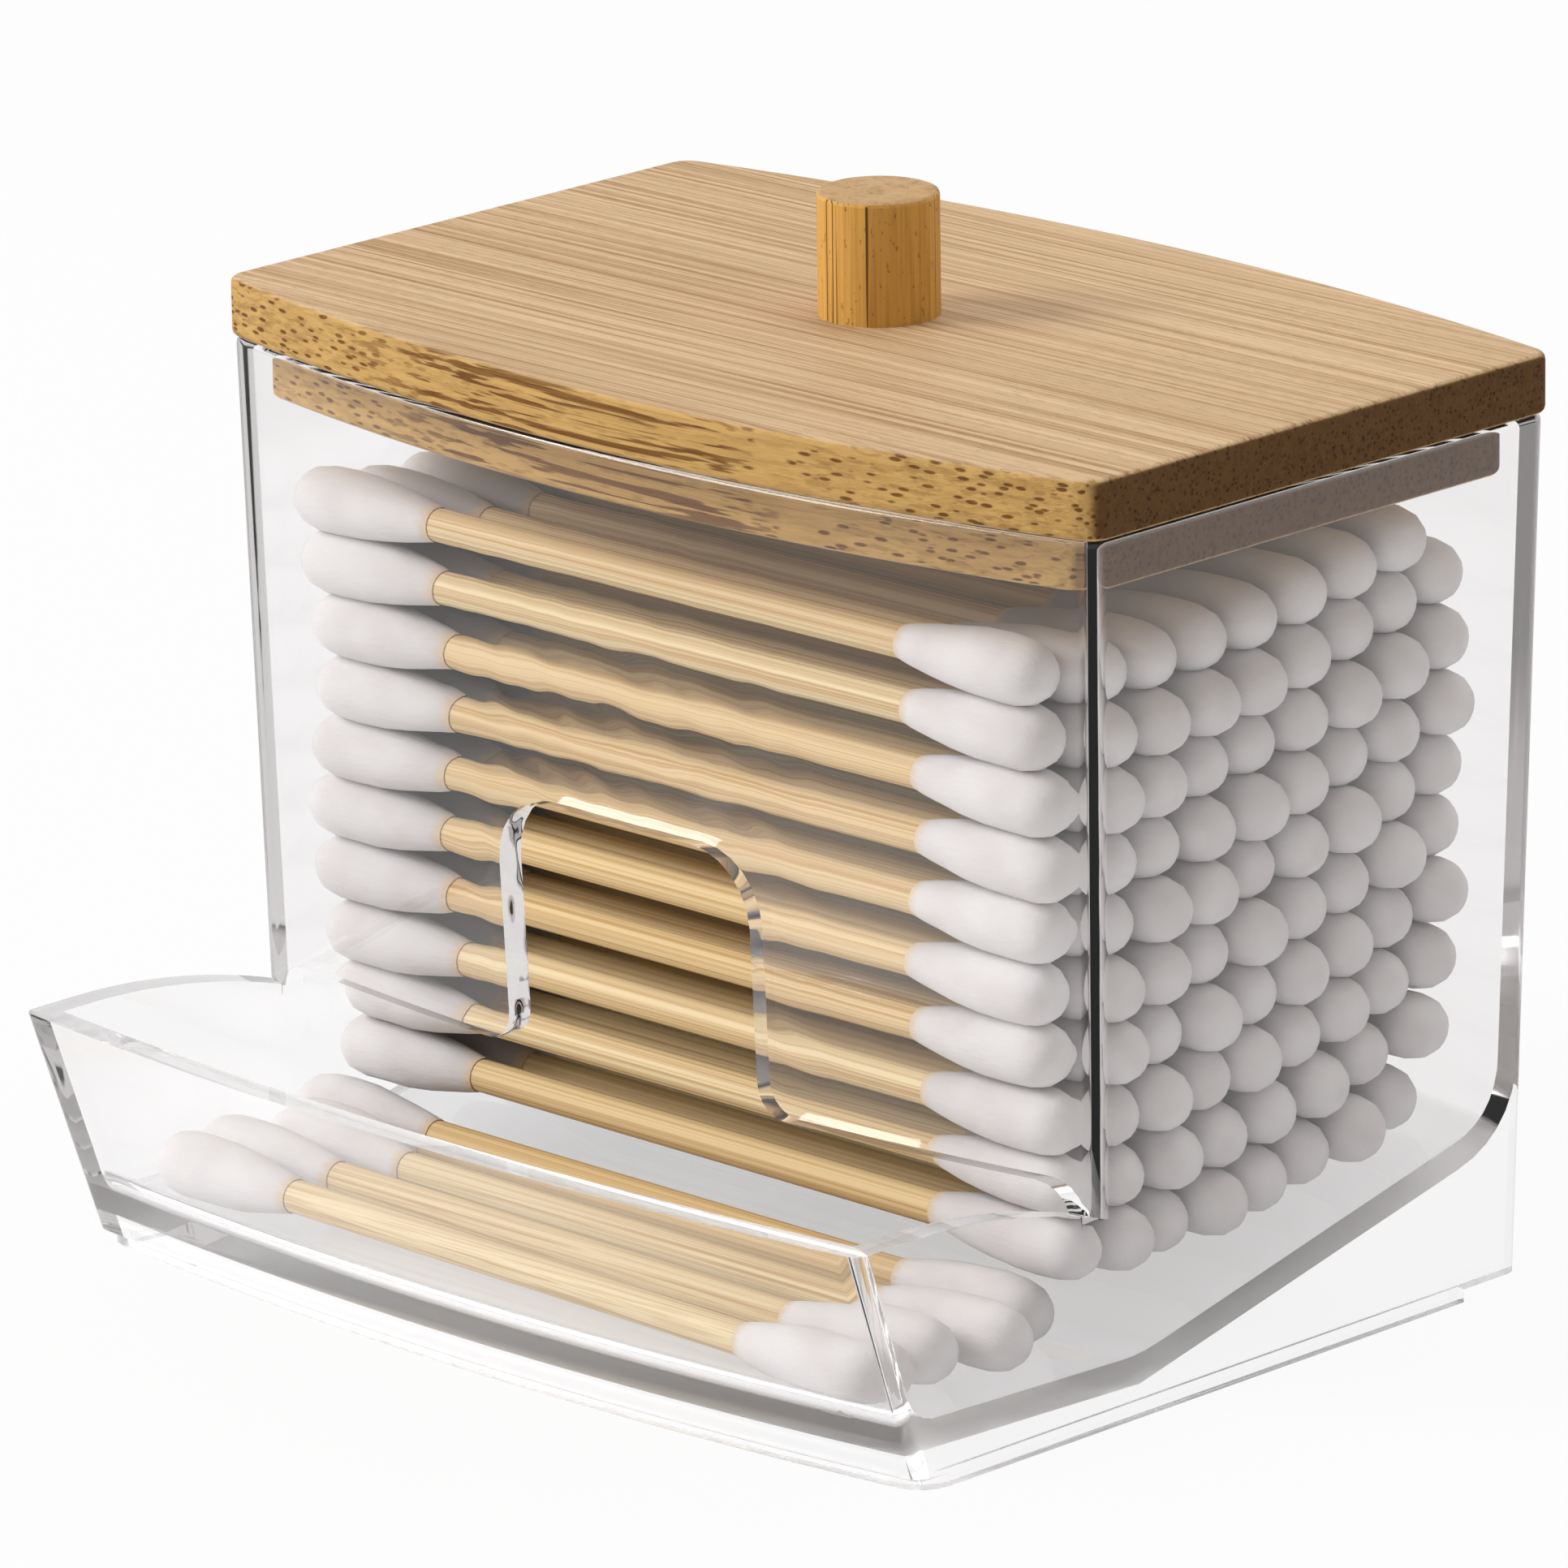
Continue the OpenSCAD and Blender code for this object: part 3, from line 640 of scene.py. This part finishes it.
def makeLid(s, lid):
    w, d, z = s["half"], s["depth"], s["rim"]
    out, gap = lid["out"], lid["stepIn"]
    plate = block((-w - out, -out, z), (w + out, d + out, z + lid["thick"]))
    step = block((-w + gap, gap, z - lid["step"]), (w - gap, d - gap, z + 2))
    for bm in (plate, step):
        roundEdges(bm, upright, lid["corner"], 4)
        roundEdges(bm, lambda e: e.calc_face_angle(0) > 1.2, lid["edge"], 3)
    board = asObject("board", plate)
    combine(board, asObject("step", step), "UNION")
    bm = bmesh.new()
    bm.from_mesh(board.data)
    bpy.data.objects.remove(board)
    bend(bm, s, lidBow, w + out)
    piece = addPiece("lid", bm, "lid", boardPaint, ["lid_board"], 40)
    piece.modifiers.new("evenNormals", "WEIGHTED_NORMAL").keep_sharp = True


makeLid(mouldSetup, lidSetup)
dress("knob", bambooKnob(knobSetup))
print("lid and knob made")


# Swabs
swabSetup = {
    "length": 75 * mm,
    "stick": 2.5 * mm,
    "bud": 4.95 * mm,
    "budLength": 14 * mm,
    "sides": 16,
    "lumps": 0.14 * mm,
    "inStep": 0.5,        # how much of the pile's unevenness is kept
    "frontRow": -0.0145,  # swabs in front of this line keep all of it
    "slipped": 2.5 * mm,  # how far the last swab in the tray has slipped to the left
}
# share of the bud's length, share of its radius
budProfile = ((0.0, 0.53), (0.07, 0.62), (0.18, 0.74), (0.33, 0.88), (0.5, 0.97), (0.68, 1.0),
              (0.82, 0.995), (0.9, 0.9), (0.96, 0.68), (0.99, 0.36), (1.0, 0.0))


def cotton():
    m = newPaint("cotton")
    along = m.add("ShaderNodeAttribute", {"attribute_name": "along"}, out="Fac")
    fuzz = m.noise(m.place((900, 3000, 3000)), 2.0, 0.7)
    lumps = m.noise(m.place((220, 330, 330)), 1.0)
    colour = m.blend(lumps.ramp(0.3, 0.75), (0.9, 0.865, 0.86), (0.82, 0.77, 0.765))
    # painted shade: the necks of the swabs further back in the pile are darkened, as if shaded by their
    # neighbours
    neckShade = along.ramp(0.3, 0.9, 0.65, 0.0) * m.part(m.place(), 1).ramp(-0.0125, -0.006)
    colour = m.blend(neckShade, colour, (0.40, 0.37, 0.365))       # necks in the pile are in shade
    thin = (along + fuzz * 0.1).ramp(0.05, 0.13, 0.75, 0.0)
    colour = m.blend(thin, colour, (0.84, 0.62, 0.38))
    return m.finish(m.add("ShaderNodeBsdfPrincipled", None, {
        "Base Color": colour, "Roughness": 0.95, "Normal": m.bump(fuzz * 0.6 + lumps, 0.4, 0.0003),
        "Specular IOR Level": 0.1, "Sheen Weight": 0.3, "Sheen Roughness": 0.5, "Subsurface Weight": 0.2,
        "Subsurface Radius": (0.0012, 0.001, 0.0009), "Subsurface Scale": 1.0}))


def stickWood():
    m = newPaint("stickWood")
    fine = m.noise(m.place((12, 5000, 5000)), 1.0, 0.65)
    line = m.noise(m.place((7, 2200, 2200), (0.1, 0.3, 0.2)), 1.0)
    tone = m.noise(m.place((2, 170, 170)), 0.0).ramp(0.32, 0.68)
    grain = fine.ramp(0.45, 0.6) * 0.5 + line.ramp(0.52, 0.64) * 0.5
    colour = m.blend(tone, (0.96, 0.78, 0.48), (0.86, 0.62, 0.32))
    colour = m.blend(grain * 0.7, colour, (0.56, 0.31, 0.10))
    return m.finish(m.add("ShaderNodeBsdfPrincipled", None, {
        "Base Color": colour, "Roughness": 0.55 + grain * 0.15,
        "Normal": m.bump(fine - line.ramp(0.52, 0.66) * 0.5, 0.35, 0.00012), "Specular IOR Level": 0.25}))


def seated(place, way):
    # turns +X to the swab's way
    return Matrix.Translation(place) @ way.to_track_quat("X", "Z").to_matrix().to_4x4()


def joined(start):
    # all points that hang together with the first ones
    found, todo = set(start), list(start)
    while todo:
        v = todo.pop()
        for other in (e.other_vert(v) for e in v.link_edges):
            if other not in found:
                found.add(other)
                todo.append(other)
    return found


def addBud(bm, along, place, way, side, setup):
    reach = setup["length"] / 2 - setup["budLength"]
    ring = [bm.verts.new((t * setup["budLength"], r * setup["bud"] / 2, 0)) for t, r in budProfile]
    edges = [bm.edges.new(pair) for pair in zip(ring, ring[1:])]
    bmesh.ops.spin(bm, geom=ring + edges, cent=(0, 0, 0), axis=(1, 0, 0), dvec=(0, 0, 0),
                   angle=math.tau, steps=setup["sides"], use_merge=True, use_duplicate=False)
    verts = sorted(joined(ring), key=lambda v: v.index)
    seed = place * 37.0 + Vector((side * 3.1, 0, 0))
    slant = 0.05 * noise.noise(seed * 11)
    for v in verts:
        share = v.co.x / setup["budLength"]
        v[along] = share
        radius = math.hypot(v.co.y, v.co.z)
        if radius > 1e-7:
            lump = noise.noise(seed + v.co * 260) * setup["lumps"] * min(1, share * 3) / radius
            v.co.y *= 1 + lump
            v.co.z *= 1 + lump
        v.co.z += slant * share * share * setup["bud"]
    turn = Matrix.Rotation(0 if side > 0 else math.pi, 4, "Z")
    bmesh.ops.transform(bm, verts=verts,
                        matrix=seated(place, way) @ turn @ Matrix.Translation((reach, 0, 0)))


def addStick(bm, place, way, setup):
    reach = setup["length"] / 2 - setup["budLength"] + 1.5 * mm
    bmesh.ops.create_cone(bm, cap_ends=True, segments=16, radius1=setup["stick"] / 2,
                          radius2=setup["stick"] / 2, depth=2 * reach,
                          matrix=seated(place, way) @ Matrix.Rotation(math.pi / 2, 4, "Y"))


cottonPaint = cotton()
stickPaint = stickWood()


def makeSwabs(group, setup):
    places = swabPlaces(group + "_sticks")
    for place, way in places:
        if place.y > setup["frontRow"]:
            place.x *= setup["inStep"]
    if group == "tray":
        places[-1][0].x -= setup["slipped"]
    sticks = bmesh.new()
    for place, way in places:
        addStick(sticks, place, way, setup)
    addPiece(group + "_swab_sticks", sticks, "holder", stickPaint, [group + "_sticks"])
    for name, side in (("left", -1), ("right", 1)):
        buds = bmesh.new()
        along = buds.verts.layers.float.new("along")
        for place, way in places:
            addBud(buds, along, place, way, side, setup)
        bmesh.ops.remove_doubles(buds, verts=buds.verts, dist=1e-7)
        bmesh.ops.recalc_face_normals(buds, faces=buds.faces)
        addPiece(f"{group}_swab_buds_{name}", buds, "holder", cottonPaint,
                 [f"{group}_buds_{name}"], 0)
    print(group, "swabs:", len(places))


makeSwabs("pile", swabSetup)
makeSwabs("tray", swabSetup)
